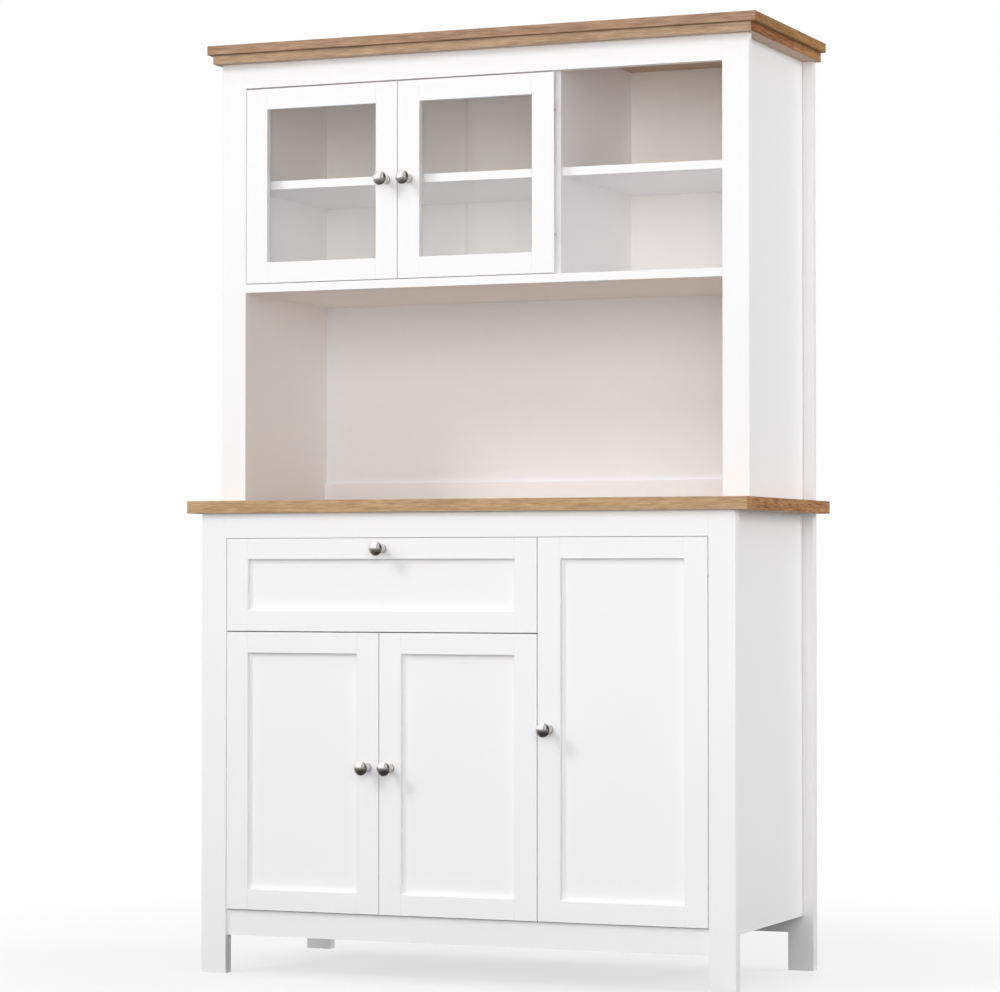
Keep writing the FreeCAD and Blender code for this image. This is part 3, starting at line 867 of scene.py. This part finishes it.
@dataclass(frozen=True)
class MirrorCard:
    """Part of a shell round the cupboard that only polished things mirror, so that metal shows its form."""

    name: str
    surface: Surface
    azimuth_deg: tuple[float, float]
    elevation_deg: tuple[float, float]
    radius_m: float = 9.0
    centre: Point = (0.0, -0.25, 0.95)
    floor_gap_mm: float = 8.0
    least_fall: float = 1e-6
    steps: int = 49

    def hang(self, palette: Palette) -> bpy.types.Object:
        """Put the screen up.

        Point (i, j) lies on the ray from the centre at azimuth i, counted from straight ahead to the right,
        and elevation j, as far out as the radius, or just above the floor where that comes first.

        Args:
            palette: where its finish comes from.

        Returns:
            The screen, hidden from all but mirrored rays.
        """
        turn, rise = np.meshgrid(np.radians(np.linspace(*self.azimuth_deg, self.steps)),
                                 np.radians(np.linspace(*self.elevation_deg, self.steps)), indexing="ij")
        height = self.centre[2] - self.floor_gap_mm * MM
        reach = np.minimum(self.radius_m, height / np.maximum(-np.sin(rise), self.least_fall))
        ray = np.stack([np.sin(turn) * np.cos(rise), -np.cos(turn) * np.cos(rise), np.sin(rise)], -1)
        points = np.array(self.centre) + reach[..., None] * ray
        index = np.arange(self.steps ** 2).reshape(self.steps, self.steps)
        faces = np.stack([index[:-1, :-1], index[1:, :-1], index[1:, 1:], index[:-1, 1:]], -1).reshape(-1, 4)
        mesh = bpy.data.meshes.new(self.name)
        mesh.from_pydata(points.reshape(-1, 3).tolist(), [], faces.tolist())
        card = bpy.data.objects.new(self.name, mesh)
        bpy.context.scene.collection.objects.link(card)
        palette.paint(card, self.surface)
        card.visible_camera = card.visible_diffuse = card.visible_transmission = card.visible_shadow = False
        return card


@dataclass(frozen=True)
class Studio:
    """Pale floor, soft light and the camera of the photograph."""

    floor_m: float = 24.0
    ambient: float = 0.54
    softboxes: tuple[Softbox, ...] = (
        Softbox("key_softbox", (-4.45, -5.12, 5.14), 2.0, 185.0),
        Softbox("front_softbox", (1.39, -5.20, 2.04), 2.4, 59.0),
        Softbox("side_softbox", (5.06, 1.84, 2.04), 2.4, 118.0),
        Softbox("right_softbox", (2.74, -4.75, 1.38), 2.4, 41.0),
        Softbox("upper_softbox", (-1.08, -2.96, 5.41), 2.4, 8.0),
        Softbox("top_softbox", (-0.17, -0.94, 6.32), 2.4, 16.0),
        Softbox("low_softbox", (-0.94, -5.33, 1.86), 2.4, 12.0),
        Softbox("left_softbox", (-5.06, 1.84, 2.04), 2.4, 25.0),
        Softbox("rear_softbox", (0.00, 5.10, 2.96), 2.4, 30.0),
    )
    cards: tuple[MirrorCard, ...] = (
        MirrorCard("white_reflector", Surface.REFLECTOR, (-150.0, -2.0), (1.0, 90.0)),
        MirrorCard("camera_flag", Surface.GREY_FELT, (-2.0, 10.0), (1.0, 75.0)),
        MirrorCard("right_flag", Surface.FELT, (34.0, 180.0), (1.0, 90.0)),
        MirrorCard("horizon_flag", Surface.PALE_FELT, (-180.0, 180.0), (-20.0, 1.0)),
        MirrorCard("low_flag", Surface.GREY_FELT, (-180.0, 180.0), (-45.0, -20.0)),
        MirrorCard("floor_flag", Surface.FELT, (-180.0, 180.0), (-90.0, -45.0)),
    )
    bounces: int = 12
    azimuth_deg: float = 22.608
    pitch_deg: float = 1.3356
    focal_px: float = 3449.0
    eye: Point = (2.5525, -6.1625, 0.7624)

    def lay_floor(self, palette: Palette) -> bpy.types.Object:
        """Lay a flat square on the ground.

        Args:
            palette: where its finish comes from.

        Returns:
            The floor.
        """
        half = self.floor_m / 2
        across, along = np.meshgrid((-half, half), (-half, half), indexing="ij")
        points = np.stack([across, along, np.zeros((2, 2))], -1).reshape(-1, 3)
        mesh = bpy.data.meshes.new("studio_floor")
        mesh.from_pydata(points.tolist(), [], [(0, 2, 3, 1)])
        floor = bpy.data.objects.new("studio_floor", mesh)
        bpy.context.scene.collection.objects.link(floor)
        palette.paint(floor, Surface.FLOOR)
        return floor

    def light(self, palette: Palette) -> None:
        """Even light from all round, white for rays that are seen, the softboxes and the mirror cards.

        White compartments are lit by many bounces from wall to wall, so more of them are counted than usual.

        Args:
            palette: where the cards' finishes come from.
        """
        world = bpy.data.worlds.new("white_studio")
        world.use_nodes = True
        tree = world.node_tree
        tree.nodes.clear()
        even = add_node(tree, "Background", {"Strength": self.ambient, "Color": linear(WHITE)})
        white = add_node(tree, "Background", {"Strength": 1.0, "Color": linear(WHITE)})
        mix = add_node(tree, "MixShader", {0: seen_ray(tree), 1: even.outputs[0], 2: white.outputs[0]})
        add_node(tree, "OutputWorld", {"Surface": mix.outputs["Shader"]})
        bpy.context.scene.world = world
        for box in self.softboxes:
            box.hang()
        for card in self.cards:
            card.hang(palette)
        bpy.context.scene.cycles.diffuse_bounces = self.bounces

    def aim_camera(self) -> None:
        """Set the camera where the photograph was taken from: a long lens, just below the worktop."""
        turn, tilt = math.radians(self.azimuth_deg), math.radians(self.pitch_deg)
        ahead = Vector((-math.sin(turn) * math.cos(tilt), math.cos(turn) * math.cos(tilt), math.sin(tilt)))
        data = bpy.data.cameras.new("camera")
        data.sensor_width = SENSOR_WIDTH_MM
        data.lens = self.focal_px / IMAGE_WIDTH_PX * SENSOR_WIDTH_MM
        camera = bpy.data.objects.new("camera", data)
        camera.location = self.eye
        camera.rotation_euler = ahead.to_track_quat("-Z", "Y").to_euler()
        bpy.context.scene.collection.objects.link(camera)
        bpy.context.scene.camera = camera


def main() -> None:
    """Dress the carcass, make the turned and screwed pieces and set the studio."""
    logging.basicConfig(level=logging.INFO, format="%(message)s")
    bpy.context.scene.view_settings.view_transform = "Standard"
    palette = Palette()
    Carcass().dress(palette)

    doors = [body for body in frame["bodies"] if body.endswith("_door")]
    for body in doors + ["drawer"]:
        knob = TurnedKnob(body + "_knob", body).build()
        palette.paint(knob, Surface.NICKEL)
        LOG.info("%s on %s", knob.name, body)
    for hardware in [DoorHardware(body) for body in doors] + [FrontHardware("drawer")]:
        for piece in hardware.build():
            palette.paint(piece, Surface.STEEL)
            LOG.info("%s on %s", piece.name, hardware.body)

    studio = Studio()
    studio.lay_floor(palette)
    studio.light(palette)
    studio.aim_camera()


if __name__ == "__main__":
    main()
